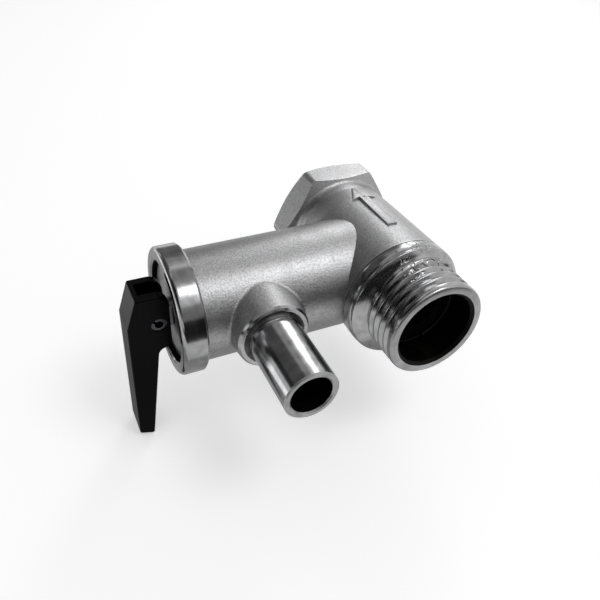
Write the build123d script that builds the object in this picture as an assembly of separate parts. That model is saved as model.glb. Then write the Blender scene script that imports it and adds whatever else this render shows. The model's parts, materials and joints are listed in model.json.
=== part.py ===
from build123d import *
import math
import os

# Half-inch boiler safety valve: tee body, relief valve in the branch, check valve in the run.
# The run lies along Y with the heater mouth's centre at the origin and the inlet at -Y.
# The branch points along -X. Distances named reach, face or depth are measured along those axes.

# Pipe thread, half inch parallel
thread_major_r = 10.4775
thread_minor_r = 9.3155
thread_pitch = 1.814
thread_crest = 0.34
thread_root = 0.2

# Run of the body
branch_y = -22.5
branch_step = 0.5
run_lead = 0.1
hex_across = 25.0
hex_length = 7.2
hex_corner_round = 1.5
hex_lip = 0.2
hex_cone_angle = 30.0
hex_foot_round = 1.2
heater_thread_depth = 12.0
mouth_chamfer = 0.5
inlet_wall = 1.2
cage_shoulder = 0.7
inlet_ring_r = 11.0
inlet_ring_length = 3.2
inlet_thread_length = 9.8
inlet_face_chamfer = 0.35
inlet_bore_chamfer = 0.6

# Branch of the body, a little slimmer than the run
plug_r = 10.0
plug_wall = 1.0
collar_face = 46.2
collar_wall = 2.6
collar_length = 4.8
collar_inner_chamfer = 0.45
collar_outer_round = 0.9
rim_chamfer = 0.35
crotch_round = 2.0
chamber_step = 1.4
floor_face = 13.0
seat_face = 14.2
port_r = 4.5
seat_wall = 1.5

# Drain boss and spout
spout_x = -29.6
boss_reach = 14.4
boss_tip_r = 7.1
boss_draft = 7.0
boss_foot_round = 0.8
boss_edge_chamfer = 0.35
spout_reach = 30.2
spout_r = 5.2
spout_bore_r = 3.96
spout_foot_round = 1.0
spout_end_chamfer = 0.3

# Adjusting plug
plug_length = 7.4
plug_recess = 1.2
plug_face_chamfer = 0.8
spanner_hole_r = 1.1
spanner_hole_depth = 2.5
spanner_circle_r = 6.8
stem_ring_wire_r = 0.85
stem_ring_lead = 1.7
ring_groove_play = 0.15

# Stem, plunger and seal
stem_r = 2.75
stem_running_gap = 0.05
stem_head_r = 3.9
stem_head_length = 1.4
head_play = 0.1
eye_thickness = 3.0
seal_margin = 1.7
seal_thickness = 2.2
seal_seat_gap = 0.05
plunger_guide_gap = 0.3
plunger_length = 4.0
seal_recess = 1.4
plunger_hub_gap = 0.6
plunger_hub_length = 3.0
flute_count = 6
flute_r = 1.3

# Relief spring
relief_wire_r = 0.9
relief_spring_margin = 1.2
relief_turns = 6.0

# Lever and its pin
pin_r = 1.5
pin_bore_r = 0.85
pin_slot = 0.6
pin_recess = 0.25
pin_slot_angle = 140.0
lever_play = 1.0
pin_to_heel = 2.2
lever_thickness = 7.0
lever_top = 6.65
lever_heel = 5.8
lever_nose_round = 2.4
lever_top_width = 3.9
lever_depth = 8.1
arm_root = 2.6
arm_reach = 29.1
arm_tip_inner = 2.8
arm_tip_width = 3.0
arm_tip_slope = 1.1
armpit_round = 1.7
lever_edge_round = 0.45
fork_gap = 0.3

# Check valve in the inlet bore
port_land = 1.0
check_fit_gap = 0.1
cage_length = 8.0
cage_wall = 0.8
spider_thickness = 1.0
spider_arm = 1.6
spider_arms = 4
spider_hub_r = 2.2
spider_hub_length = 2.0
check_seat_length = 3.0
check_seat_wall = 3.1
seat_ring_wire_r = 0.8
check_seal_lap = 1.1
check_seal_thickness = 0.9
poppet_thickness = 1.0
poppet_nose_gap = 0.8
poppet_nose_length = 1.6
poppet_stem_r = 1.2
poppet_stem_gap = 0.05
poppet_stem_lead = 0.6
check_wire_r = 0.3
check_spring_r = 3.0
check_turns = 3.0
retainer_wire_r = 0.5
retainer_gap_angle = 40.0

# Places worked out from the sizes above
branch_r = plug_r + plug_wall
run_r = branch_r + branch_step
collar_r = plug_r + collar_wall
chamber_r = plug_r - chamber_step
seal_r = chamber_r - seal_margin
relief_spring_r = chamber_r - relief_spring_margin - relief_wire_r
plunger_hub_r = relief_spring_r - relief_wire_r - plunger_hub_gap
check_bore_r = thread_minor_r - inlet_wall
waterway_r = check_bore_r - cage_shoulder
check_port_r = check_bore_r - check_seat_wall
poppet_nose_r = check_port_r - poppet_nose_gap
plug_face = collar_face - plug_recess
plug_back = plug_face - plug_length
pin_face = plug_face + lever_play + pin_to_heel
stem_ring_face = plug_back + stem_ring_lead
eye_flat_length = math.hypot(lever_top, pin_to_heel) + fork_gap
ring_start_y = branch_y - branch_r - run_lead
thread_start_y = ring_start_y - inlet_ring_length
inlet_y = thread_start_y - inlet_thread_length
seal_face = seat_face + seal_seat_gap
seal_back = seal_face + seal_thickness
plunger_face = seal_back - seal_recess
plunger_back = plunger_face + plunger_length
check_y = branch_y - port_r - port_land
cage_y = check_y - cage_length
check_seat_y = cage_y - check_seat_length
retainer_y = check_seat_y - retainer_wire_r
seal_top_y = cage_y + seal_seat_gap + check_seal_thickness
poppet_top_y = seal_top_y + poppet_thickness
spider_y = check_y - spider_thickness


# A cylinder or cone along the run, from one y to another
def along_run(y0, y1, r0, r1=None, x=0.0):
    r1 = r0 if r1 is None else r1
    low = Plane(origin=(x, y0, 0), x_dir=(1, 0, 0), z_dir=(0, 1, 0))
    if abs(r0 - r1) < 1e-9:
        shape = Cylinder(r0, y1 - y0, align=(Align.CENTER, Align.CENTER, Align.MIN))
    else:
        shape = Cone(r0, r1, y1 - y0, align=(Align.CENTER, Align.CENTER, Align.MIN))
    return low * shape


# A cylinder or cone along the branch, between two distances from the run's axis
def along_branch(d0, d1, r0, r1=None):
    r1 = r0 if r1 is None else r1
    low = Plane(origin=(-d0, branch_y, 0), x_dir=(0, 1, 0), z_dir=(-1, 0, 0))
    if abs(r0 - r1) < 1e-9:
        shape = Cylinder(r0, d1 - d0, align=(Align.CENTER, Align.CENTER, Align.MIN))
    else:
        shape = Cone(r0, r1, d1 - d0, align=(Align.CENTER, Align.CENTER, Align.MIN))
    return low * shape


# A round ring of wire about the branch's axis, or about the run's axis
def ring_on_branch(d, mean_r, wire_r):
    place = Plane(origin=(-d, branch_y, 0), x_dir=(0, 1, 0), z_dir=(-1, 0, 0))
    return place * Torus(mean_r, wire_r)


def ring_on_run(y, mean_r, wire_r):
    place = Plane(origin=(0, y, 0), x_dir=(1, 0, 0), z_dir=(0, 1, 0))
    return place * Torus(mean_r, wire_r)


# Edges of a shape that are circles of one radius at one place along an axis
def circles_at(shape, axis, place, radius):
    def fits(edge):
        middle = edge.arc_center.Y if axis == Axis.Y else edge.arc_center.X
        return abs(middle - place) < 1e-3 and abs(edge.radius - radius) < 1e-3
    return [edge for edge in shape.edges().filter_by(GeomType.CIRCLE) if fits(edge)]


# Coil spring with its ends ground flat, standing on z = 0
def coil_spring(mean_r, wire_r, height, turns):
    path = Helix(height / turns, height, mean_r)
    coil = sweep(Plane(origin=path @ 0, z_dir=path % 0) * Circle(wire_r), path=path, is_frenet=True)
    room = Cylinder(mean_r + 2 * wire_r, height, align=(Align.CENTER, Align.CENTER, Align.MIN))
    return coil & room


# Hexagon with rounded corners, both its ends turned to blunt cones, and a round foot into the run
def hexagon_end():
    apothem = hex_across / 2
    lean = math.radians(hex_cone_angle)
    lead = hex_foot_round * math.tan(math.pi / 4 - lean / 2)
    lip_r = apothem - hex_lip
    widest_r = (hex_length / math.tan(lean) + lip_r + run_r) / 2
    foot = (run_r, -hex_length - lead)
    foot_end = (run_r + lead * math.cos(lean), lead * math.sin(lean) - hex_length)
    room = Polyline((lip_r, 0), (0, 0), (0, foot[1]), foot) + TangentArc(foot, foot_end, tangent=(0, 1))
    room += Polyline(foot_end, (widest_r, (lip_r - widest_r) * math.tan(lean)), (lip_r, 0))
    back = Plane(origin=(0, 0, 0), x_dir=(1, 0, 0), z_dir=(0, -1, 0))
    outline = fillet(RegularPolygon(apothem, 6, major_radius=False).vertices(), hex_corner_round)
    prism = extrude(back * outline, hex_length + lead)
    return prism & revolve(make_face(room), Axis.Y)


# Male pipe thread as ridges of one turned profile, from the chamfered end face to the ring
def inlet_thread():
    inside_r = check_bore_r - 1
    flank = (thread_pitch - thread_crest - thread_root) / 2
    ridges = int((inlet_thread_length - inlet_face_chamfer) // thread_pitch)
    face_r = thread_major_r - inlet_face_chamfer
    profile = [(inside_r, inlet_y), (face_r, inlet_y)]
    for step in range(ridges):
        y = inlet_y + inlet_face_chamfer + thread_pitch * step
        profile += [(thread_major_r, y), (thread_major_r, y + thread_crest)]
        profile += [(thread_minor_r, y + thread_crest + flank)]
        profile += [(thread_minor_r, y + thread_crest + flank + thread_root)]
    profile[-1] = (thread_minor_r, thread_start_y + inlet_ring_length / 2)
    profile += [(inside_r, thread_start_y + inlet_ring_length / 2)]
    return revolve(make_face(Polyline(*profile, close=True)), Axis.Y)


# Forged tee with its drain boss, before any hole is cut
def body_outside():
    run = along_run(ring_start_y, -hex_length, run_r)
    branch = along_branch(0, collar_face - collar_length, branch_r)
    tee = run + branch
    crotch = [edge for edge in tee.edges() if edge.geom_type not in (GeomType.CIRCLE, GeomType.LINE)]
    tee = fillet(crotch, crotch_round)
    boss_foot_r = boss_tip_r + boss_reach * math.tan(math.radians(boss_draft))
    boss = along_run(branch_y - boss_reach, branch_y, boss_tip_r, boss_foot_r, spout_x)
    before = tee.edges()
    tee = tee + boss
    foot = [edge for edge in tee.edges() - before if edge.geom_type not in (GeomType.CIRCLE, GeomType.LINE)]
    tee = fillet(foot, boss_foot_round)
    boss_y = branch_y - boss_reach
    tee = chamfer(circles_at(tee, Axis.Y, boss_y, boss_tip_r), boss_edge_chamfer)
    spout_y = branch_y - spout_reach
    tee = tee + along_run(spout_y, boss_y + 1, spout_r, None, spout_x)
    tee = fillet(circles_at(tee, Axis.Y, boss_y, spout_r), spout_foot_round)
    tee = chamfer(circles_at(tee, Axis.Y, spout_y, spout_r), spout_end_chamfer)
    collar = along_branch(collar_face - collar_length, collar_face, collar_r)
    collar = chamfer(circles_at(collar, Axis.X, collar_length - collar_face, collar_r), collar_inner_chamfer)
    collar = fillet(circles_at(collar, Axis.X, -collar_face, collar_r), collar_outer_round)
    ring = along_run(thread_start_y, ring_start_y, inlet_ring_r)
    return tee + collar + hexagon_end() + ring + inlet_thread()


# Holes of the body, the branch's first: spring chamber, plug hole, relief port, then the run's and the drain
def body_holes():
    spout_y = branch_y - spout_reach
    mouth = along_run(-heater_thread_depth, 1, thread_minor_r)
    mouth_lip = along_run(-mouth_chamfer, 0, thread_minor_r, thread_minor_r + mouth_chamfer)
    waterway = along_run(check_y - 1, 1 - heater_thread_depth, waterway_r)
    check_bore = along_run(inlet_y - 1, check_y, check_bore_r)
    check_lip_r = check_bore_r + inlet_bore_chamfer
    check_lip = along_run(inlet_y, inlet_y + inlet_bore_chamfer, check_lip_r, check_bore_r)
    groove = ring_on_run(retainer_y, check_bore_r, retainer_wire_r)
    port = along_branch(0, seat_face + 1, port_r)
    chamber = along_branch(seat_face, plug_back + 1, chamber_r)
    moat = along_branch(floor_face, seat_face + 1, chamber_r) - along_branch(0, seat_face + 1, port_r + seat_wall)
    plug_hole = along_branch(plug_back, collar_face + 1, plug_r)
    rim_lip = along_branch(collar_face - rim_chamfer, collar_face, plug_r, plug_r + rim_chamfer)
    drain = along_run(spout_y - 1, branch_y, spout_bore_r, None, spout_x)
    drain_lip_r = spout_bore_r + spout_end_chamfer
    drain_lip = along_run(spout_y, spout_y + spout_end_chamfer, drain_lip_r, spout_bore_r, spout_x)
    return [
        chamber, moat, plug_hole, rim_lip, port, mouth, mouth_lip, waterway, check_bore, check_lip, groove,
        drain, drain_lip,
    ]


def valve_body():
    body = body_outside()
    for hole in body_holes():
        body -= hole
    return body


# Threaded plug with a stem hole, a groove for the ring and two spanner holes
def adjusting_plug():
    plug = along_branch(plug_back, plug_face, plug_r)
    plug = chamfer(circles_at(plug, Axis.X, -plug_face, plug_r), plug_face_chamfer)
    plug -= along_branch(plug_back - 1, plug_face + 1, stem_r + stem_running_gap)
    groove_r = stem_r + 2 * stem_ring_wire_r + 2 * ring_groove_play
    half = stem_ring_wire_r + ring_groove_play
    plug -= along_branch(stem_ring_face - half, stem_ring_face + half, groove_r)
    for side in (-1, 1):
        place = Plane(origin=(-plug_face, branch_y + side * spanner_circle_r, 0), z_dir=(1, 0, 0))
        plug -= place * Cylinder(spanner_hole_r, 2 * spanner_hole_depth)
    return plug


def stem_o_ring():
    mean_r = stem_r + stem_running_gap + stem_ring_wire_r
    return ring_on_branch(stem_ring_face, mean_r, stem_ring_wire_r)


# Plunger: fluted disc that carries the seal, with a pocket for the stem's head and a hub in the spring
def plunger():
    disc_r = chamber_r - plunger_guide_gap
    body = along_branch(plunger_face, plunger_back, disc_r)
    body += along_branch(plunger_back, plunger_back + plunger_hub_length, plunger_hub_r)
    body -= along_branch(plunger_face, seal_back, seal_r)
    pocket = stem_head_length + 2 * head_play
    body -= along_branch(seal_back, seal_back + pocket, stem_head_r + head_play)
    body -= along_branch(seal_back, plunger_back + plunger_hub_length, stem_r + stem_running_gap)
    for step in range(flute_count):
        turn = 2 * math.pi * (step + 0.5) / flute_count
        y = branch_y + chamber_r * math.cos(turn)
        z = chamber_r * math.sin(turn)
        place = Plane(origin=(-(plunger_face + plunger_back) / 2, y, z), z_dir=(1, 0, 0))
        body -= place * Cylinder(flute_r, 2 * plunger_length)
    return body


def seal_disc():
    return along_branch(seal_face, seal_back, seal_r)


# Stem: head under the seal, round rod through the plug, flattened eye for the pin
def stem():
    head = seal_back + head_play
    rod = along_branch(head, head + stem_head_length, stem_head_r)
    rod += along_branch(head, pin_face, stem_r)
    eye_place = Plane(origin=(-pin_face, branch_y, 0), z_dir=(0, 1, 0))
    rod += eye_place * Cylinder(stem_r, eye_thickness)
    for side in (-1, 1):
        flat = Box(2 * eye_flat_length, stem_r, 4 * stem_r)
        offset = side * (eye_thickness + stem_r) / 2
        rod -= Pos(-pin_face, branch_y + offset, 0) * flat
    return rod - eye_place * Cylinder(pin_r + stem_running_gap, 2 * stem_r)


def relief_spring():
    place = Plane(origin=(-plunger_back, branch_y, 0), x_dir=(0, 1, 0), z_dir=(-1, 0, 0))
    height = plug_back - plunger_back
    return place * coil_spring(relief_spring_r, relief_wire_r, height, relief_turns)


# Lever: side outline pulled to its thickness, edges eased, then forked for the stem's eye
def lever():
    heel_x = -(plug_face + lever_play)
    pin_x = -pin_face
    back_x = heel_x - lever_depth
    top_x = heel_x - pin_to_heel - lever_top_width
    root_x = heel_x - arm_root
    tip_x = root_x - arm_tip_inner
    corners = {
        "top_outer": (top_x, lever_top),
        "nose": (heel_x, lever_top),
        "heel": (heel_x, -lever_heel),
        "armpit": (root_x, -lever_heel - 0.3),
        "tip_inner": (tip_x, -arm_reach),
        "tip_outer": (tip_x - arm_tip_width, -arm_reach + arm_tip_slope),
        "shoulder": (back_x, 0.3),
    }
    side = Plane(origin=(0, branch_y, 0), x_dir=(1, 0, 0), z_dir=(0, -1, 0))
    outline = make_face(Polyline(*corners.values(), close=True))

    def corner(name):
        x, z = corners[name]
        return [v for v in outline.vertices() if abs(v.X - x) < 1e-6 and abs(v.Y - z) < 1e-6]

    outline = fillet(corner("armpit"), armpit_round)
    outline = fillet(corner("nose"), lever_nose_round)
    for name in ("top_outer", "heel", "tip_inner", "tip_outer", "shoulder"):
        outline = fillet(corner(name), lever_edge_round)
    block = extrude(side * outline, lever_thickness / 2, both=True)
    rims = block.faces().sort_by(Axis.Y)[0].edges() + block.faces().sort_by(Axis.Y)[-1].edges()
    block = fillet(rims, lever_edge_round * 0.8)
    eye_room = stem_r + fork_gap
    span = lever_top + lever_heel
    slot = Pos(pin_x, 0) * Circle(eye_room)
    slot += Pos(pin_x - eye_room, 0) * Rectangle(span, span, align=(Align.MIN, Align.MIN))
    slot += Pos(pin_x, -eye_room) * Rectangle(span, span, align=(Align.MIN, Align.MIN))
    block -= extrude(side * slot, eye_thickness / 2 + fork_gap, both=True)
    hole = Plane(origin=(pin_x, branch_y, 0), z_dir=(0, 1, 0))
    return block - hole * Cylinder(pin_r, 2 * lever_thickness)


# Rolled spring pin, open along one side
def lever_pin():
    place = Plane(origin=(-pin_face, branch_y, 0), x_dir=(1, 0, 0), z_dir=(0, -1, 0))
    length = lever_thickness - 2 * pin_recess
    pin = Cylinder(pin_r, length) - Cylinder(pin_bore_r, length)
    slit = Pos(pin_r / 2 + pin_bore_r / 2, 0, 0) * Box(pin_r, pin_slot, length)
    return place * (pin - Rot(0, 0, pin_slot_angle) * slit)


# Ring with the check valve's port and a groove for its own seal
def check_seat():
    outer_r = check_bore_r - check_fit_gap
    seat = along_run(check_seat_y, cage_y, outer_r)
    seat -= along_run(check_seat_y, cage_y, check_port_r)
    middle = (check_seat_y + cage_y) / 2
    half = seat_ring_wire_r + ring_groove_play
    groove = along_run(middle - half, middle + half, outer_r + 1)
    groove -= along_run(middle - half, middle + half, check_bore_r - 2 * seat_ring_wire_r - ring_groove_play)
    return seat - groove


def seat_o_ring():
    return ring_on_run((check_seat_y + cage_y) / 2, check_bore_r - seat_ring_wire_r, seat_ring_wire_r)


# Cup that stands on the check seat, with a spider whose hub guides the poppet
def check_cage():
    outer_r = check_bore_r - check_fit_gap
    cup = along_run(cage_y, check_y, outer_r) - along_run(cage_y, check_y, outer_r - cage_wall)
    spokes = along_run(spider_y, check_y, spider_hub_r)
    for step in range(spider_arms):
        arm = Box(outer_r - cage_wall / 2, spider_thickness, spider_arm, align=(Align.MIN, Align.MIN, Align.CENTER))
        spokes += Pos(0, spider_y, 0) * Rot(0, 360 * (step + 0.5) / spider_arms, 0) * arm
    spokes += along_run(check_y - spider_hub_length, check_y, spider_hub_r)
    spokes -= along_run(cage_y, check_y, poppet_stem_r + poppet_stem_gap)
    return cup + spokes


# Poppet: nose in the port, disc behind the seal, stem in the spider's hub
def check_poppet():
    nose_y = seal_top_y - check_seal_thickness - poppet_nose_length
    nose = along_run(nose_y, seal_top_y, poppet_nose_r * 0.6, poppet_nose_r)
    disc = along_run(seal_top_y, poppet_top_y, check_port_r + check_seal_lap)
    rod = along_run(poppet_top_y, check_y + poppet_stem_lead, poppet_stem_r)
    return nose + disc + rod


def check_seal():
    outer_r = check_port_r + check_seal_lap
    ring = along_run(cage_y + seal_seat_gap, seal_top_y, outer_r)
    return ring - along_run(cage_y + seal_seat_gap, seal_top_y, poppet_nose_r)


def check_spring():
    place = Plane(origin=(0, poppet_top_y, 0), x_dir=(1, 0, 0), z_dir=(0, 1, 0))
    return place * coil_spring(check_spring_r, check_wire_r, spider_y - poppet_top_y, check_turns)


# Snap ring in the groove of the inlet bore, open at the bottom
def check_retainer():
    ring = ring_on_run(retainer_y, check_bore_r, retainer_wire_r)
    half_gap = check_bore_r * math.sin(math.radians(retainer_gap_angle / 2))
    gap = Box(2 * half_gap, 4 * retainer_wire_r, 2 * check_bore_r, align=(Align.CENTER, Align.CENTER, Align.MAX))
    return ring - Pos(0, retainer_y, 0) * gap


nodes = [
    valve_body, adjusting_plug, stem_o_ring, plunger, seal_disc, stem, relief_spring, lever, lever_pin,
    check_seat, seat_o_ring, check_cage, check_poppet, check_seal, check_spring, check_retainer,
]

os.makedirs("parts", exist_ok=True)
for node in nodes:
    export_step(node(), os.path.join("parts", node.__name__ + ".step"))
    print(node.__name__)
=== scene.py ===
import bpy
import bmesh
import json
import math
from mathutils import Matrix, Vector


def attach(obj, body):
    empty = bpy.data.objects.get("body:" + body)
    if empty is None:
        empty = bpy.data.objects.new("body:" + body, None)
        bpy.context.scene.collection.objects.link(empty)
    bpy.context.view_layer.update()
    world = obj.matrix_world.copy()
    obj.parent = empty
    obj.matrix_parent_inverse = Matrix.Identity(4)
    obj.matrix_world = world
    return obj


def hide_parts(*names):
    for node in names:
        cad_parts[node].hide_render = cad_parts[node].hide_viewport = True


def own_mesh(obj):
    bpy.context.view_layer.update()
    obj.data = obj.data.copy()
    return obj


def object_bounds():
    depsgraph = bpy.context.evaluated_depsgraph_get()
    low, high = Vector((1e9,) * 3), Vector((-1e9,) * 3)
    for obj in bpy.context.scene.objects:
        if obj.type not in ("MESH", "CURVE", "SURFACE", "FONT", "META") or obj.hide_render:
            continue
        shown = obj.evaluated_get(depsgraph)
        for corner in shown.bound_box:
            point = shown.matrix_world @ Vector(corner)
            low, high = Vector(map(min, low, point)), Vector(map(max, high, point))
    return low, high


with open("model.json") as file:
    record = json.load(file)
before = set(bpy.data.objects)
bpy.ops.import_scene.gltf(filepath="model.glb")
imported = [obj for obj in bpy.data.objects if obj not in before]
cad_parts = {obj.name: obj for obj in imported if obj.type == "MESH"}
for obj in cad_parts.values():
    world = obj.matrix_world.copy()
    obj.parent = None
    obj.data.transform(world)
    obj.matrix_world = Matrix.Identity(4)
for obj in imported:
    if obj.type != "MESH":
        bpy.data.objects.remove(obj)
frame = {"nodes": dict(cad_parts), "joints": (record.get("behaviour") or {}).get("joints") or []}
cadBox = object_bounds()
nodes = frame["nodes"]
joints = {joint["name"]: joint for joint in frame["joints"]}
mm = 0.001
branchY = round(joints["stem_swivel"]["pos_m"][1] / mm, 3)  # axis of branch, collar and plug, in mm
spoutX = -29.6  # axis of the spout, in mm
runR = 11.5  # radius of the solids' run, in mm
print("frame loaded:", len(nodes), "nodes")


# sRGB hex to the linear colour that Blender's sockets take
def linearColour(hexCode):
    parts = [int(hexCode[k:k + 2], 16) / 255 for k in (1, 3, 5)]
    return [p / 12.92 if p <= 0.04045 else ((p + 0.055) / 1.055) ** 2.4 for p in parts] + [1.0]


# adds one node: settings go to sockets or properties, ramp sets a colour ramp, links join sockets
def addNode(tree, kind, settings=None, links=None, ramp=None):
    node = tree.nodes.new(kind)
    for name, value in (settings or {}).items():
        if isinstance(name, int) or name in node.inputs.keys():
            node.inputs[name].default_value = value
        else:
            setattr(node, name, value)
    for name, source in (links or {}).items():
        tree.links.new(source, node.inputs[name])
    if ramp:
        stops = node.color_ramp.elements
        while len(stops) < len(ramp):
            stops.new(0.5)
        for stop, (place, colour) in zip(stops, ramp):
            stop.position = place
            stop.color = colour
    return node


def newMaterial(name):
    material = bpy.data.materials.new(name)
    material.use_nodes = True
    material.node_tree.nodes.clear()
    return material, material.node_tree


# where edges are lighter, as wear and as a painted edge highlight: the share grows as the rounded and the
# true normal part
def wornAndHighlitEdges(tree, s):
    rounded = addNode(tree, "ShaderNodeBevel", {"samples": 4, "Radius": s["edgeMm"] * mm})
    true = addNode(tree, "ShaderNodeNewGeometry")
    agree = addNode(tree, "ShaderNodeVectorMath", {"operation": "DOT_PRODUCT"},
                    {0: rounded.outputs["Normal"], 1: true.outputs["Normal"]})
    start, full = s["edgeRange"]
    edge = addNode(tree, "ShaderNodeMapRange",
                   {"From Min": start, "From Max": full, "To Min": 0.0, "To Max": s["edgeShare"]},
                   {"Value": agree.outputs["Value"]})
    return edge.outputs["Result"]


# shot-blasted brass forging under satin nickel: a frosted grey grain that sparkles, edges lighter from wear
# and from a painted edge highlight
blasted = {
    "light": "#b3b3b4", "dark": "#939394", "edgeWearAndHighlight": "#cdcdce", "toneStops": (0.32, 0.62),
    "gritMm": 0.34,  # real shot dimples are about 0.2 mm, drawn coarser so that they show
    "swellMm": 3.5,  # slow unevenness of a forged skin
    "roughness": (0.34, 0.50), "gritDepthMm": 0.05, "swellDepthMm": 0.05,
    "edgeMm": 0.5, "edgeRange": (0.985, 0.86), "edgeShare": 0.8, "edgePolish": -0.14,
}


def blastedNickel(s):
    material, tree = newMaterial("nickelPlatedForgingShotBlasted")
    place = addNode(tree, "ShaderNodeTexCoord").outputs["Object"]
    grit = addNode(tree, "ShaderNodeTexNoise",
                   {"Scale": 1 / (s["gritMm"] * mm), "Detail": 2.0, "Roughness": 0.6}, {"Vector": place})
    swell = addNode(tree, "ShaderNodeTexNoise", {"Scale": 1 / (s["swellMm"] * mm), "Detail": 3.0},
                    {"Vector": place})
    low, high = s["toneStops"]
    tone = addNode(tree, "ShaderNodeValToRGB", None, {"Fac": grit.outputs["Fac"]},
                   [(low, linearColour(s["dark"])), (high, linearColour(s["light"]))])
    edge = wornAndHighlitEdges(tree, s)
    # the edge colour is partly wear and partly a painted highlight
    colour = addNode(tree, "ShaderNodeMixRGB", {"Color2": linearColour(s["edgeWearAndHighlight"])},
                     {"Fac": edge, "Color1": tone.outputs["Color"]})
    satin = addNode(tree, "ShaderNodeMapRange", {"To Min": s["roughness"][0], "To Max": s["roughness"][1]},
                    {"Value": swell.outputs["Fac"]})
    worn = addNode(tree, "ShaderNodeMath", {"operation": "MULTIPLY_ADD", 1: s["edgePolish"]},
                   {0: edge, 2: satin.outputs["Result"]})
    wavy = addNode(tree, "ShaderNodeBump", {"Strength": 1.0, "Distance": s["swellDepthMm"] * mm},
                   {"Height": swell.outputs["Fac"]})
    grainy = addNode(tree, "ShaderNodeBump", {"Strength": 1.0, "Distance": s["gritDepthMm"] * mm},
                     {"Height": grit.outputs["Fac"], "Normal": wavy.outputs["Normal"]})
    shader = addNode(tree, "ShaderNodeBsdfPrincipled", {"Metallic": 1.0},
                     {"Base Color": colour.outputs["Color"], "Roughness": worn.outputs["Value"],
                      "Normal": grainy.outputs["Normal"]})
    addNode(tree, "ShaderNodeOutputMaterial", None, {"Surface": shader.outputs["BSDF"]})
    return material


# brass turned on a lathe, then nickel plated: near mirror with fine rings about the axis it was turned on
def turnedNickel(s):
    material, tree = newMaterial(s["name"])
    place = addNode(tree, "ShaderNodeTexCoord").outputs["Object"]
    centre = [v * mm for v in s["centreMm"]]
    local = addNode(tree, "ShaderNodeVectorMath", {"operation": "SUBTRACT", 1: centre}, {0: place})
    across = addNode(tree, "ShaderNodeVectorMath", {"operation": "MULTIPLY", 1: [1 - a for a in s["axis"]]},
                     {0: local.outputs["Vector"]})
    radial = addNode(tree, "ShaderNodeVectorMath", {"operation": "LENGTH"}, {0: across.outputs["Vector"]})
    axial = addNode(tree, "ShaderNodeVectorMath", {"operation": "DOT_PRODUCT", 1: s["axis"]},
                    {0: local.outputs["Vector"]})
    track = addNode(tree, "ShaderNodeMath", {"operation": "ADD"},
                    {0: radial.outputs["Value"], 1: axial.outputs["Value"]})
    rings = addNode(tree, "ShaderNodeTexNoise",
                    {"noise_dimensions": "1D", "Scale": 1 / (s["feedMm"] * mm), "Detail": 2.0},
                    {"W": track.outputs["Value"]})
    haze = addNode(tree, "ShaderNodeTexNoise", {"Scale": 1 / (s["hazeMm"] * mm), "Detail": 4.0},
                   {"Vector": place})
    low, high = s["toneStops"]
    tone = addNode(tree, "ShaderNodeValToRGB", None, {"Fac": haze.outputs["Fac"]},
                   [(low, linearColour(s["dark"])), (high, linearColour(s["light"]))])
    gloss = addNode(tree, "ShaderNodeMapRange", {"To Min": s["roughness"][0], "To Max": s["roughness"][1]},
                    {"Value": haze.outputs["Fac"]})
    feed = addNode(tree, "ShaderNodeMath", {"operation": "MULTIPLY_ADD", 1: s["ringRoughness"]},
                   {0: rings.outputs["Fac"], 2: gloss.outputs["Result"]})
    lines = addNode(tree, "ShaderNodeBump", {"Strength": 1.0, "Distance": s["feedDepthMm"] * mm},
                    {"Height": rings.outputs["Fac"]})
    if "pitMm" in s:
        spread = addNode(tree, "ShaderNodeTexNoise", {"Scale": 1 / (s["pitMm"] * mm), "Detail": 1.0},
                         {"Vector": place})
        floor, rim = s["pitRange"]
        pits = addNode(tree, "ShaderNodeMapRange",
                       {"From Min": floor, "From Max": rim, "interpolation_type": "SMOOTHSTEP"},
                       {"Value": spread.outputs["Fac"]})
        lines = addNode(tree, "ShaderNodeBump", {"Strength": 1.0, "Distance": s["pitDepthMm"] * mm},
                        {"Height": pits.outputs["Result"], "Normal": lines.outputs["Normal"]})
    shader = addNode(tree, "ShaderNodeBsdfPrincipled", {"Metallic": 1.0},
                     {"Base Color": tone.outputs["Color"], "Roughness": feed.outputs["Value"],
                      "Normal": lines.outputs["Normal"]})
    addNode(tree, "ShaderNodeOutputMaterial", None, {"Surface": shader.outputs["BSDF"]})
    return material


# feed rings of a finishing cut are about 0.1 mm apart, drawn coarser so that they show
collarTurned = {
    "name": "nickelPlatedBrassTurnedCollar", "axis": (1, 0, 0), "centreMm": (0, branchY, 0),
    "light": "#a8a8a9", "dark": "#8c8c8d", "toneStops": (0.30, 0.65), "feedMm": 0.35, "feedDepthMm": 0.004,
    "hazeMm": 2.5, "roughness": (0.10, 0.20), "ringRoughness": 0.05,
}
runTurned = dict(collarTurned, name="nickelPlatedBrassTurnedRun", axis=(0, 1, 0), centreMm=(0, 0, 0))
spoutTurned = dict(runTurned, name="nickelPlatedBrassTurnedSpout", centreMm=(spoutX, 0, 0), light="#adadae",
                   roughness=(0.10, 0.18))
# the plug's face, a coarser cut: the mirror turns to a soft sheen
plugTurned = dict(collarTurned, name="nickelPlatedBrassTurnedPlug", light="#a7a7a8", roughness=(0.22, 0.34),
                  feedDepthMm=0.008)
# bare brass, turned: warm yellow with a soft gloss
brassTurned = dict(collarTurned, name="bareBrassTurned", light="#c8a763", dark="#a98a4c",
                   roughness=(0.18, 0.30))
# plating pitted by handling: specks break up the mirror
pittedRun = dict(runTurned, name="nickelPlatedBrassTurnedPitted", pitMm=1.7, pitRange=(0.34, 0.44),
                 pitDepthMm=0.14)
# the inner corner at the spout's foot: painted shade, dark and blotchy, standing in for the shadow in that
# corner
spoutFootShade = dict(spoutTurned, name="nickelPlatedBrassPaintedFootShade", light="#606061", dark="#262627",
                 roughness=(0.34, 0.46))
# ends faced across on the lathe: an even, softer grey than the turned sides
facedEnds = dict(runTurned, name="nickelPlatedBrassFaced", roughness=(0.26, 0.38), feedDepthMm=0.008)
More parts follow.
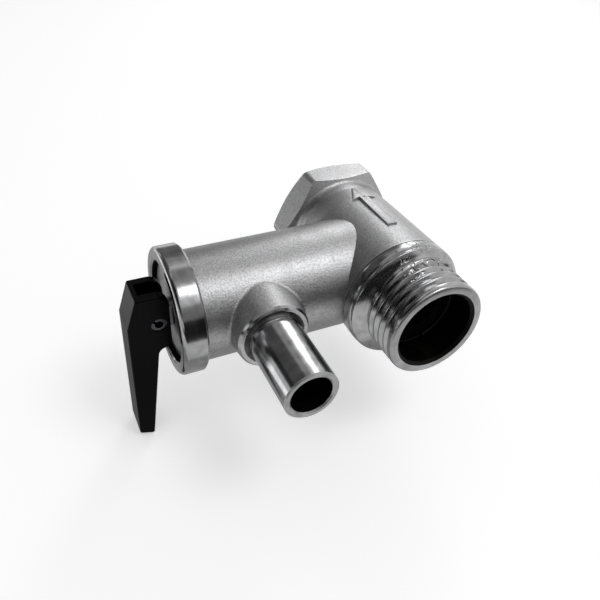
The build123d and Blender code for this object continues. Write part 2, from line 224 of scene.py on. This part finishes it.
# drilled and left dull, then coloured nearly black inside the bores: painted shade for the shade deep in
# them
boreShadeDrilled = dict(collarTurned, name="bareBrassDrilledPaintedShade", light="#1e1c1a", dark="#111010", feedMm=0.5,
                   roughness=(0.42, 0.58), feedDepthMm=0.02)


# everything that isn't plated brass: a grain for tone, gloss and bump over one colour pair
def grainedMaterial(s):
    material, tree = newMaterial(s["name"])
    place = addNode(tree, "ShaderNodeTexCoord").outputs["Object"]
    grain = addNode(tree, "ShaderNodeTexNoise", {"Scale": 1 / (s["grainMm"] * mm), "Detail": 3.0},
                    {"Vector": place})
    cloud = addNode(tree, "ShaderNodeTexNoise", {"Scale": 1 / (s["cloudMm"] * mm), "Detail": 2.0},
                    {"Vector": place})
    low, high = s["toneStops"]
    tone = addNode(tree, "ShaderNodeValToRGB", None, {"Fac": cloud.outputs["Fac"]},
                   [(low, linearColour(s["dark"])), (high, linearColour(s["light"]))])
    colour = addNode(tree, "ShaderNodeMixRGB", {"Color2": linearColour(s["edgeWearAndHighlight"])},
                     {"Fac": wornAndHighlitEdges(tree, s), "Color1": tone.outputs["Color"]})
    gloss = addNode(tree, "ShaderNodeMapRange", {"To Min": s["roughness"][0], "To Max": s["roughness"][1]},
                    {"Value": grain.outputs["Fac"]})
    skin = addNode(tree, "ShaderNodeBump", {"Strength": 1.0, "Distance": s["grainDepthMm"] * mm},
                   {"Height": grain.outputs["Fac"]})
    shader = addNode(tree, "ShaderNodeBsdfPrincipled",
                     {"Metallic": s["metallic"], "Specular IOR Level": s["sheen"]},
                     {"Base Color": colour.outputs["Color"], "Roughness": gloss.outputs["Result"],
                      "Normal": skin.outputs["Normal"]})
    addNode(tree, "ShaderNodeOutputMaterial", None, {"Surface": shader.outputs["BSDF"]})
    return material


# glass-filled nylon, moulded: deep black with a fine even matt skin, edges a touch lighter, as finger polish
# and as a painted edge highlight
leverNylon = {
    "name": "nylonMouldedBlack", "light": "#040405", "dark": "#020203", "edgeWearAndHighlight": "#0d0d10",
    "toneStops": (0.30, 0.70), "grainMm": 0.35, "grainDepthMm": 0.012, "cloudMm": 6.0,
    "roughness": (0.30, 0.42), "metallic": 0.0, "sheen": 0.07,
    "edgeMm": 0.5, "edgeRange": (0.99, 0.85), "edgeShare": 0.7,
}
# acetal, moulded: black and slightly waxy
checkAcetal = dict(leverNylon, name="acetalMouldedBlack", light="#141414", dark="#0b0b0b",
                   roughness=(0.24, 0.34))
# nitrile rubber, moulded: charcoal black and dull
sealNitrile = dict(leverNylon, name="nitrileRubberMoulded", light="#1b1b1b", dark="#111111",
                   roughness=(0.55, 0.72))
# spring steel, rolled and blued: dark grey with a soft sheen
pinSteel = dict(leverNylon, name="springSteelRolled", light="#505053", dark="#363639", edgeWearAndHighlight="#77777a",
                roughness=(0.26, 0.38), metallic=1.0, grainMm=0.3, grainDepthMm=0.006, sheen=0.5)
# spring steel, phosphated: nearly black and dull, which hides it in the bore
ringSteel = dict(pinSteel, name="springSteelPhosphated", light="#2a2a2c", dark="#1b1b1d", edgeWearAndHighlight="#38383a",
                 roughness=(0.42, 0.56))
# stainless wire, cold drawn: bright grey with faint draw marks
springWire = dict(leverNylon, name="stainlessWireDrawn", light="#bdbcb8", dark="#999894", edgeWearAndHighlight="#d0cfcb",
                  roughness=(0.20, 0.32), metallic=1.0, grainMm=0.4, grainDepthMm=0.004, sheen=0.5)

forged = blastedNickel(blasted)
collarShine = turnedNickel(collarTurned)
runShine = turnedNickel(runTurned)
spoutShine = turnedNickel(spoutTurned)
paintedBoreShade = turnedNickel(boreShadeDrilled)
facedShine = turnedNickel(facedEnds)
pittedShine = turnedNickel(pittedRun)
paintedFootShade = turnedNickel(spoutFootShade)
plugShine = turnedNickel(plugTurned)
brassShine = turnedNickel(brassTurned)
nylon = grainedMaterial(leverNylon)
acetal = grainedMaterial(checkAcetal)
nitrile = grainedMaterial(sealNitrile)
blued = grainedMaterial(pinSteel)
blackened = grainedMaterial(ringSteel)
wire = grainedMaterial(springWire)
print("materials made")

# CAD nodes that show as they are
finishes = {
    "adjusting_plug": plugShine, "stem": plugShine, "plunger": brassShine, "lever": nylon,
    "lever_pin": blued, "stem_o_ring": nitrile, "seal_disc": nitrile, "seat_o_ring": nitrile,
    "check_seal": nitrile, "check_seat": acetal, "check_cage": acetal, "check_poppet": acetal,
    "check_retainer": blackened,
}
for name, material in finishes.items():
    nodes[name].data.materials.clear()
    nodes[name].data.materials.append(material)
print("CAD pieces finished")


# a new piece: meshed, dressed, and riding on its body
def addPiece(name, build, body, materials, sharpDegrees=50):
    mesh = bpy.data.meshes.new(name)
    build.to_mesh(mesh)
    build.free()
    mesh.shade_smooth()
    mesh.set_sharp_from_angle(angle=math.radians(sharpDegrees))
    piece = bpy.data.objects.new(name, mesh)
    bpy.context.collection.objects.link(piece)
    for material in materials:
        mesh.materials.append(material)
    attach(piece, body)
    return piece


# half-inch parallel pipe thread, 14 to the inch
pipeThread = {"minor": 9.3155, "major": 10.4775, "pitch": 1.814, "segments": 144}
# its form over one pitch: place along the pitch, and height from root to crest
threadForm = [(0.0, 0.0), (0.10, 0.0), (0.15, 0.05), (0.41, 0.92),
              (0.46, 1.0), (0.64, 1.0), (0.69, 0.92), (0.95, 0.05)]


def smoothStep(share):
    share = min(max(share, 0.0), 1.0)
    return share * share * (3 - 2 * share)


# a ring with a helical thread between two places, closed by a path of plain rings
def threadedRing(s):
    build = bmesh.new()
    perPitch = len(threadForm)
    segments = s["segments"]
    low, high = s["from"], s["to"]
    depth = s["major"] - s["minor"]
    lead = 1.5  # pitches before the start, so that every column of the helix reaches it
    turns = math.ceil((high - low) / s["pitch"] + 2 * lead)

    def spot(column, y, r, aside=0.0):
        turn = 2 * math.pi * column / segments
        return build.verts.new(((aside + r * math.sin(turn)) * mm, y * mm, r * math.cos(turn) * mm))

    columns = []
    for column in range(segments):
        rows = []
        for k in range(turns * perPitch):
            along, height = threadForm[k % perPitch]
            y = low + s["pitch"] * (k // perPitch - lead + along + column / segments)
            y = min(max(y, low), high)
            start = min((y - low) / s["fadeFrom"], 1)
            end = min((high - y) / s["fadeTo"], 1)
            height = s["startHeight"] + (height - s["startHeight"]) * start
            height = s["endHeight"] + (height - s["endHeight"]) * end
            ended, begun = s["runOut"]
            out = smoothStep((y - high + begun) / (begun - ended))
            r = s["minor"] + s["runOutLift"] * out + height * depth
            rows.append(spot(column, y, r, s["aside"] * out))
        columns.append(rows)
    for column in range(segments):
        here = columns[column]
        there = columns[(column + 1) % segments]
        shift = perPitch if column == segments - 1 else 0
        for k in range(len(here) - 1 - shift):
            build.faces.new((here[k], here[k + 1], there[k + 1 + shift], there[k + shift]))
    startR = s["minor"] + s["startHeight"] * depth
    endR = s["minor"] + s["runOutLift"] + s["endHeight"] * depth
    rings = []
    for y, r in [(high, endR)] + s["path"] + [(low, startR)]:
        aside = s["aside"] if r > s["major"] and y >= high else 0.0
        rings.append([spot(column, y, r, aside) for column in range(segments)])
    for first, second in zip(rings, rings[1:]):
        for column in range(segments):
            after = (column + 1) % segments
            build.faces.new((first[column], second[column], second[after], first[after]))
    weld = 0.0001 * mm
    bmesh.ops.remove_doubles(build, verts=build.verts, dist=weld)
    bmesh.ops.dissolve_degenerate(build, edges=build.edges, dist=weld)
    bmesh.ops.recalc_face_normals(build, faces=build.faces)
    return build


# rounded rim at the inlet's end: a quarter of an ellipse from the end face to the thread
inletRim = {"from": -45.8, "r": 9.95, "reach": 0.8, "rise": 0.52, "steps": 4}


def quarterRound(s):
    turns = [math.pi / 2 * k / s["steps"] for k in range(s["steps"] + 1)]
    return [(s["from"] - s["reach"] * math.cos(t), s["r"] + s["rise"] * math.sin(t)) for t in turns]


# half-inch pipe thread, from the rounded rim up to the shoulder
inletThread = {
    **pipeThread, "from": -45.5, "to": -36.0,
    "fadeFrom": 0.5, "fadeTo": 0.5, "startHeight": 1.0, "endHeight": 1.0,
    "runOut": (0.9, 2.4), "runOutLift": 2.0,  # the last turns climb onto the shoulder
    "aside": -0.75,  # the shoulder is off the thread's axis, as the forged run is
    "path": [(-35.8, 12.57), (-35.6, 12.62), (-34.0, 12.62), (-33.75, 12.54), (-33.62, 12.3), (-33.62, 9.2),
             (-46.6, 9.2)] + quarterRound(inletRim),
    "lipY": -46.4, "pittedPast": (-4.5, -41.0, 5.0),  # faced beyond the lip, pitted on the upper right
}
inletPiece = addPiece("inletThread", threadedRing(inletThread), "body",
                      [runShine, facedShine, pittedShine])
for face in inletPiece.data.polygons:
    spot = face.center / mm
    pitted = all(value > limit for value, limit in zip(spot, inletThread["pittedPast"]))
    face.material_index = 1 if spot.y < inletThread["lipY"] else 2 if pitted else 0

# the heater mouth's own thread, cut into the wall behind the mouth's chamfer
heaterThread = {
    **pipeThread, "from": -11.4, "to": -0.5,
    "fadeFrom": 1.2, "fadeTo": 0.5, "startHeight": 0.0, "endHeight": 0.0,
    "runOut": (0.0, 1.0), "runOutLift": 0.0, "aside": 0.0,  # stays on its axis to the end
    "path": [(-0.02, 9.79), (-0.53, 10.68), (-11.99, 10.68), (-11.99, pipeThread["minor"])],
}
addPiece("heaterThread", threadedRing(heaterThread), "body", [runShine])
print("threads cut")


# copy of the body whose plain threads give way to the two threaded rings
bodyZones = {
    "inletFrom": -33.5, "inletR": (9.28, 11.1), "coreR": 9.25,  # plain inlet ridges, drawn in to a core
    "mouthSpan": (-12.1, -0.4), "near": 0.03, "mouthR": 10.7,  # plain mouth, widened
    "mouthBore": (11.0, -12.3, -0.03), "checkBore": (9.0, -45.9, -11.5),  # radius and span of each bore
    "branchBore": (10.3, -45.8, -6.5), "drainBore": (4.4, -52.2, -30.0),
    "level": 0.5, "flat": 0.8, "sheer": 0.995,  # how far a face looks along the run
    "collarX": -41.3, "faceY": -45.9, "bossY": -36.5, "bossR": 7.3, "footY": -38.0, "footR": (5.22, 6.3),
    "ringY": -33.58, "mouthY": -0.02, "hexR": 14.5,
}


def dressedBody(s):
    mesh = nodes["valve_body"].data.copy()
    mesh.name = "dressedBody"
    for vertex in mesh.vertices:
        x, y, z = vertex.co / mm
        r = math.hypot(x, z)
        if y < s["inletFrom"] and s["inletR"][0] < r < s["inletR"][1]:
            vertex.co = Vector((x * s["coreR"] / r, y, z * s["coreR"] / r)) * mm
        elif s["mouthSpan"][0] < y < s["mouthSpan"][1] and abs(r - pipeThread["minor"]) < s["near"]:
            vertex.co = Vector((x * s["mouthR"] / r, y, z * s["mouthR"] / r)) * mm
    mesh.materials.clear()
    for material in (forged, collarShine, runShine, spoutShine, paintedBoreShade, facedShine, paintedFootShade):
        mesh.materials.append(material)
    for face in mesh.polygons:
        face.material_index = bodyZone(s, face)
    piece = bpy.data.objects.new("dressedBody", mesh)
    bpy.context.collection.objects.link(piece)
    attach(piece, "body")
    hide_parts("valve_body")


# number of the finish that a face of the body has, in the order of the materials above
def bodyZone(s, face):
    x, y, z = face.center / mm
    fromRun = math.hypot(x, z)
    fromBranch = math.hypot(y - branchY, z)
    fromSpout = math.hypot(x - spoutX, z)
    along = abs(face.normal.y)
    mouthR, mouthEnd, mouthStart = s["mouthBore"]
    checkR, checkEnd, checkStart = s["checkBore"]
    branchR, branchEnd, branchStart = s["branchBore"]
    drainR, drainEnd, drainStart = s["drainBore"]
    inMouth = fromRun < mouthR and mouthEnd < y < mouthStart
    inCheck = fromRun < checkR and y < checkStart and (y > checkEnd or along <= s["flat"])
    inBranch = fromBranch < branchR and branchEnd < x < branchStart
    inDrain = fromSpout < drainR and y < drainStart and (y > drainEnd or along <= s["level"])
    atFoot = s["footY"] < y < s["bossY"] and s["footR"][0] < fromSpout < s["footR"][1]
    # faces inside the bores take the painted bore shade
    if inMouth or inCheck or inBranch or inDrain:
        return 4
    if x < s["collarX"]:
        return 1
    if y < s["faceY"] and along > s["level"]:
        return 5
    # the fillet at the spout's foot takes the painted corner shade
    if atFoot and along < s["sheer"]:
        return 6
    if y < s["bossY"] and fromSpout < s["bossR"]:
        return 3
    if (y < s["ringY"] or y > s["mouthY"]) and fromRun < s["hexR"]:
        return 2
    return 0


dressedBody(bodyZones)
print("body dressed")


# the forged run swells towards the branch and the inlet, and meets the branch in a sharp fold
forgedRun = {
    "innerR": 11.1, "from": -8.8, "full": -15.0, "to": -33.6, "flare": 0.4, "aside": 0.75,
    "outlineLean": 0.857,  # the share of the shift that is made up, so that the right outline stays
    "sink": 0.06, "sinkShare": 0.25,  # starts just under the run's skin and comes up within this share
    "columns": 144, "rows": 62, "portR": 9.0,
}


# radius and middle of the forged run at a place along it
def runSection(s, y):
    grow = min(max((s["from"] - y) / (s["from"] - s["full"]), 0.0), 1.0)
    along = min(max((s["from"] - y) / (s["from"] - s["to"]), 0.0), 1.0)
    aside = s["aside"] * smoothStep(grow)
    under = s["sink"] * (1 - min(grow / s["sinkShare"], 1.0))
    return runR + s["flare"] * along + s["outlineLean"] * aside - under, -aside


def runSleeve(s):
    build = bmesh.new()
    rows, columns = s["rows"], s["columns"]

    def placeY(row):
        return s["from"] + (s["to"] - s["from"]) * row / rows

    def shell(inside):
        grid = []
        for row in range(rows + 1):
            y = placeY(row)
            r, aside = (s["innerR"], 0.0) if inside else runSection(s, y)
            ring = []
            for column in range(columns):
                turn = 2 * math.pi * column / columns
                x = aside + r * math.sin(turn)
                ring.append(build.verts.new((x * mm, y * mm, r * math.cos(turn) * mm)))
            grid.append(ring)
        return grid

    def kept(row, column):  # the way into the branch stays open
        if not 0 <= row < rows:
            return False
        turn = 2 * math.pi * (column + 0.5) / columns
        fromBranch = math.hypot(placeY(row + 0.5) - branchY, runR * math.cos(turn))
        return math.sin(turn) > 0 or fromBranch > s["portR"]

    outer, inner = shell(False), shell(True)
    for row in range(rows):
        for column in range(columns):
            if not kept(row, column):
                continue
            after = (column + 1) % columns
            before = (column - 1) % columns
            corners = [(row, column), (row, after), (row + 1, after), (row + 1, column)]
            beside = [(row - 1, column), (row, after), (row + 1, column), (row, before)]
            build.faces.new([outer[r][c] for r, c in corners])
            build.faces.new([inner[r][c] for r, c in reversed(corners)])
            for k, neighbour in enumerate(beside):
                if not kept(*neighbour):
                    (r, c), (nextR, nextC) = corners[k], corners[(k + 1) % 4]
                    build.faces.new((outer[nextR][nextC], outer[r][c], inner[r][c], inner[nextR][nextC]))
    bmesh.ops.delete(build, geom=[v for v in build.verts if not v.link_faces], context="VERTS")
    bmesh.ops.recalc_face_normals(build, faces=build.faces)
    return build


addPiece("forgedRun", runSleeve(forgedRun), "body", [forged])
print("run swelled")


# raised flow arrow forged on top of the run, pointing to the heater
flowArrow = {
    "raise": 0.45, "sink": 0.3, "from": -27.0, "head": -15.5, "tip": -10.5, "shaftHalf": 1.0,
    "headHalf": 2.6, "tipHalf": 0.15, "columns": 8, "edgeMm": 0.16, "edgeSharp": 0.5,
}


def arrowRelief(s):
    build = bmesh.new()
    columns = s["columns"]

    def spot(y, half, column, lift):
        skinR, aside = runSection(forgedRun, y)
        lean = half * (2 * column / columns - 1) / runR + math.asin(-aside / skinR)
        r = skinR + lift
        return build.verts.new(((aside + r * math.sin(lean)) * mm, y * mm, r * math.cos(lean) * mm))

    def onTop(vertex):
        x, y, z = vertex.co / mm
        skinR, aside = runSection(forgedRun, y)
        return math.hypot(x - aside, z) - skinR > (s["raise"] - s["sink"]) / 2

    stations = [(s["from"], s["shaftHalf"]), (s["head"], s["shaftHalf"]), (s["head"], s["headHalf"]),
                (s["tip"], s["tipHalf"])]
    loops = []
    for y, half in stations:
        loop = [spot(y, half, column, s["raise"]) for column in range(columns + 1)]
        loop += [spot(y, half, column, -s["sink"]) for column in range(columns, -1, -1)]
        loops.append(loop)
    for first, second in zip(loops, loops[1:]):
        for k in range(len(first)):
            after = (k + 1) % len(first)
            build.faces.new((first[k], first[after], second[after], second[k]))
    build.faces.new(loops[0])
    build.faces.new(loops[-1])
    bmesh.ops.recalc_face_normals(build, faces=build.faces)
    rim = []
    for edge in build.edges:
        if all(onTop(v) for v in edge.verts) and edge.calc_face_angle() > s["edgeSharp"]:
            rim.append(edge)
    bmesh.ops.bevel(build, geom=rim, offset=s["edgeMm"] * mm, segments=2, profile=0.5, affect="EDGES")
    return build


addPiece("flowArrow", arrowRelief(flowArrow), "body", [forged])
print("arrow raised")


# springs as coils at their full length; the joint, anchor and share of their length that they keep are
# listed with them
coilMesh = {"around": 12, "perTurn": 40, "slack": 0.99}
reliefCoil = {
    **coilMesh,
    "name": "reliefCoil", "node": "relief_spring", "meanR": 6.5, "wireR": 0.9, "turns": 6,
    "from": -19.05, "to": -37.6, "along": (1, 0, 0), "origin": (0, branchY, 0),
    "joint": "relief_lift", "anchor": (-37.6, branchY, 0), "keep": 0.757,
}
checkCoil = {
    **coilMesh,
    "name": "checkCoil", "node": "check_spring", "meanR": 3.0, "wireR": 0.3, "turns": 3,
    "from": -34.05, "to": -29.0, "along": (0, 1, 0), "origin": (0, 0, 0),
    "joint": "check_lift", "anchor": (0, -29.0, 0), "keep": 0.406,
}


def coil(s):
    build = bmesh.new()
    around = s["around"]
    axis = Vector(s["along"])
    side = Vector((0, 0, 1))
    third = axis.cross(side)
    length = s["to"] - s["from"]
    inset = math.copysign(s["wireR"], length)
    steps = s["turns"] * s["perTurn"]
    rings = []
    for k in range(steps + 1):
        turn = 2 * math.pi * k / s["perTurn"]
        outward = side * math.cos(turn) + third * math.sin(turn)
        along = s["from"] + inset + (length - 2 * inset) * k / steps
        middle = Vector(s["origin"]) + axis * along + outward * s["meanR"]
        ring = []
        for step in range(around):
            lean = 2 * math.pi * step / around
            point = middle + (outward * math.cos(lean) + axis * math.sin(lean)) * s["wireR"] * s["slack"]
            ring.append(build.verts.new(point * mm))
        rings.append(ring)
    for first, second in zip(rings, rings[1:]):
        for step in range(around):
            after = (step + 1) % around
            build.faces.new((first[step], first[after], second[after], second[step]))
    build.faces.new(rings[0])
    build.faces.new(rings[-1])
    bmesh.ops.recalc_face_normals(build, faces=build.faces)
    piece = addPiece(s["name"], build, "body", [wire], 40)
    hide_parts(s["node"])
    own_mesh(piece)


coil(reliefCoil)
coil(checkCoil)
print("springs wound")


# 1 for rays from the camera, from reflections and through glass, 0 for the light that falls on the part
def seenRays(tree):
    rays = addNode(tree, "ShaderNodeLightPath")
    seen = addNode(tree, "ShaderNodeMath", {"operation": "ADD", "use_clamp": True},
                   {0: rays.outputs["Is Camera Ray"], 1: rays.outputs["Is Glossy Ray"]})
    seen = addNode(tree, "ShaderNodeMath", {"operation": "ADD", "use_clamp": True},
                   {0: seen.outputs["Value"], 1: rays.outputs["Is Transmission Ray"]})
    return seen.outputs["Value"]


# pale floor under the lever's tip, white to the camera and to reflections, with the part's shadow on it
floorLook = {"size": 4.0, "drop": 0.0002, "colour": "#ececec", "cameraGlow": 0.40}


def studioFloor(s):
    low = cadBox[0][2] - s["drop"]
    half = s["size"] / 2
    corners = [(-half, -half, low), (half, -half, low), (half, half, low), (-half, half, low)]
    mesh = bpy.data.meshes.new("studioFloor")
    mesh.from_pydata(corners, [], [(0, 1, 2, 3)])
    floor = bpy.data.objects.new("studioFloor", mesh)
    bpy.context.collection.objects.link(floor)
    material, tree = newMaterial("paperSweepWhite")
    glow = addNode(tree, "ShaderNodeMath", {"operation": "MULTIPLY", 1: s["cameraGlow"]},
                   {0: seenRays(tree)})
    paper = addNode(tree, "ShaderNodeBsdfDiffuse", {"Color": linearColour(s["colour"])})
    lit = addNode(tree, "ShaderNodeEmission", None, {"Strength": glow.outputs["Value"]})
    both = addNode(tree, "ShaderNodeAddShader", None,
                   {0: paper.outputs["BSDF"], 1: lit.outputs["Emission"]})
    addNode(tree, "ShaderNodeOutputMaterial", None, {"Surface": both.outputs["Shader"]})
    mesh.materials.append(material)


studioFloor(floorLook)

# soft studio light: an even world, a softbox high in front on the right and one low behind on the right
# glowing cards that only reflections see paint darker and lighter reflections on the plated metal; they give
# no diffuse light, and the white strip on the left glows brighter still as a painted bright reflection
# turn and rise are degrees round the aim, flat ones lie on the floor between two corners
studio = {
    "world": 0.5, "aim": (-0.02, -0.022, 0.0),
    "lamps": [
        {"name": "softboxFront", "turn": -49, "rise": 60, "away": 0.50, "size": (0.21, 0.19), "power": 0.56},
        {"name": "softboxBack", "turn": 52, "rise": 32, "away": 0.50, "size": (0.13, 0.26), "power": 0.30},
    ],
    "cards": [
        {"name": "cardBack", "turn": (64, 112), "rise": (0, 42), "grey": "#848484"},
        {"name": "cardBackHigh", "turn": (70, 100), "rise": (42, 62), "grey": "#b8b8b8"},
        {"name": "cardLeft", "turn": (120, 165), "rise": (8, 24), "grey": "#303030"},
        {"name": "cardLeftHigh", "turn": (100, 165), "rise": (24, 60), "grey": "#646464"},
        {"name": "cardTop", "turn": (0, 360), "rise": (68, 90), "grey": "#acacac"},
        {"name": "cardBehind", "turn": (165, 235), "rise": (12, 68), "grey": "#303030"},  # for the threads
        {"name": "cardFront", "turn": (-125, -52), "rise": (-6, 16), "grey": "#262626"},
        {"name": "cardFrontHigh", "turn": (-125, -55), "rise": (16, 40), "grey": "#a0a0a0"},
        {"name": "cardTable", "flat": ((-0.35, -0.70), (0.45, -0.105)), "grey": "#262626"},
        {"name": "cardUnder", "flat": ((-0.085, -0.050), (0.03, 0.13)), "grey": "#b0b0b0"},  # for undersides
        {"name": "stripLeft", "flat": ((-0.27, 0.0), (-0.09, 0.16)), "grey": "#ffffff", "glow": 2.2},
    ],
    "cardAway": 0.7, "cardSteps": 12,
}


# a place as seen from the aim: turn from +X towards +Y, rise above the floor, and distance
def placeAround(s, turn, rise, away):
    turn, rise = math.radians(turn), math.radians(rise)
    level = math.cos(rise)
    toward = Vector((level * math.cos(turn), level * math.sin(turn), math.sin(rise)))
    return Vector(s["aim"]) + away * toward


def studioWorld(s):
    world = bpy.data.worlds.new("studioWorld")
    bpy.context.scene.world = world
    world.use_nodes = True
    tree = world.node_tree
    tree.nodes.clear()
    level = addNode(tree, "ShaderNodeMapRange", {"To Min": s["world"], "To Max": 1.0},
                    {"Value": seenRays(tree)})
    sky = addNode(tree, "ShaderNodeBackground", {"Color": linearColour("#ffffff")},
                  {"Strength": level.outputs["Result"]})
    addNode(tree, "ShaderNodeOutputWorld", None, {"Surface": sky.outputs["Background"]})


def softbox(s, lamp):
    light = bpy.data.lights.new(lamp["name"], "AREA")
    light.shape = "RECTANGLE"
    light.size, light.size_y = lamp["size"]
    light.energy = lamp["power"]
    box = bpy.data.objects.new(lamp["name"], light)
    box.location = placeAround(s, lamp["turn"], lamp["rise"], lamp["away"])
    box.rotation_euler = (Vector(s["aim"]) - box.location).to_track_quat("-Z", "Y").to_euler()
    bpy.context.collection.objects.link(box)


def glowingReflectionCard(s, card):
    steps = s["cardSteps"]

    def between(ends, step):
        return ends[0] + (ends[1] - ends[0]) * step / steps

    corners = []
    for row in range(steps + 1):
        for column in range(steps + 1):
            if "flat" in card:
                across, deep = zip(*card["flat"])
                corners.append((between(across, column), between(deep, row), cadBox[0][2]))
            else:
                turn = between(card["turn"], column)
                corners.append(placeAround(s, turn, between(card["rise"], row), s["cardAway"]))
    faces = []
    for row in range(steps):
        for column in range(steps):
            low = row * (steps + 1) + column
            faces.append((low, low + 1, low + steps + 2, low + steps + 1))
    mesh = bpy.data.meshes.new(card["name"])
    mesh.from_pydata(corners, [], faces)
    panel = bpy.data.objects.new(card["name"], mesh)
    bpy.context.collection.objects.link(panel)
    material, tree = newMaterial(card["name"])
    # the card glows and only reflections see it: a painted reflection, not a lamp
    reflectionGlow = addNode(tree, "ShaderNodeEmission",
                    {"Color": linearColour(card["grey"]), "Strength": card.get("glow", 1.0)})
    addNode(tree, "ShaderNodeOutputMaterial", None, {"Surface": reflectionGlow.outputs["Emission"]})
    mesh.materials.append(material)
    panel.visible_camera = False
    panel.visible_diffuse = False
    panel.visible_shadow = False


studioWorld(studio)
for lamp in studio["lamps"]:
    softbox(studio, lamp)
for card in studio["cards"]:
    glowingReflectionCard(studio, card)
print("studio lit")

# camera at the photograph's place and angle
view = {
    "place": (-0.06693, -0.11525, 0.07804), "turn": (51.491, -3.477, -25.420), "lens": 37.835,
    "sensor": 36.0, "nearest": 0.005, "farthest": 20.0,
}
lens = bpy.data.cameras.new("camera")
lens.lens = view["lens"]
lens.sensor_width = view["sensor"]
lens.clip_start = view["nearest"]
lens.clip_end = view["farthest"]
eye = bpy.data.objects.new("camera", lens)
eye.location = view["place"]
eye.rotation_euler = [math.radians(a) for a in view["turn"]]
bpy.context.collection.objects.link(eye)
bpy.context.scene.camera = eye
bpy.context.scene.view_settings.view_transform = "Standard"
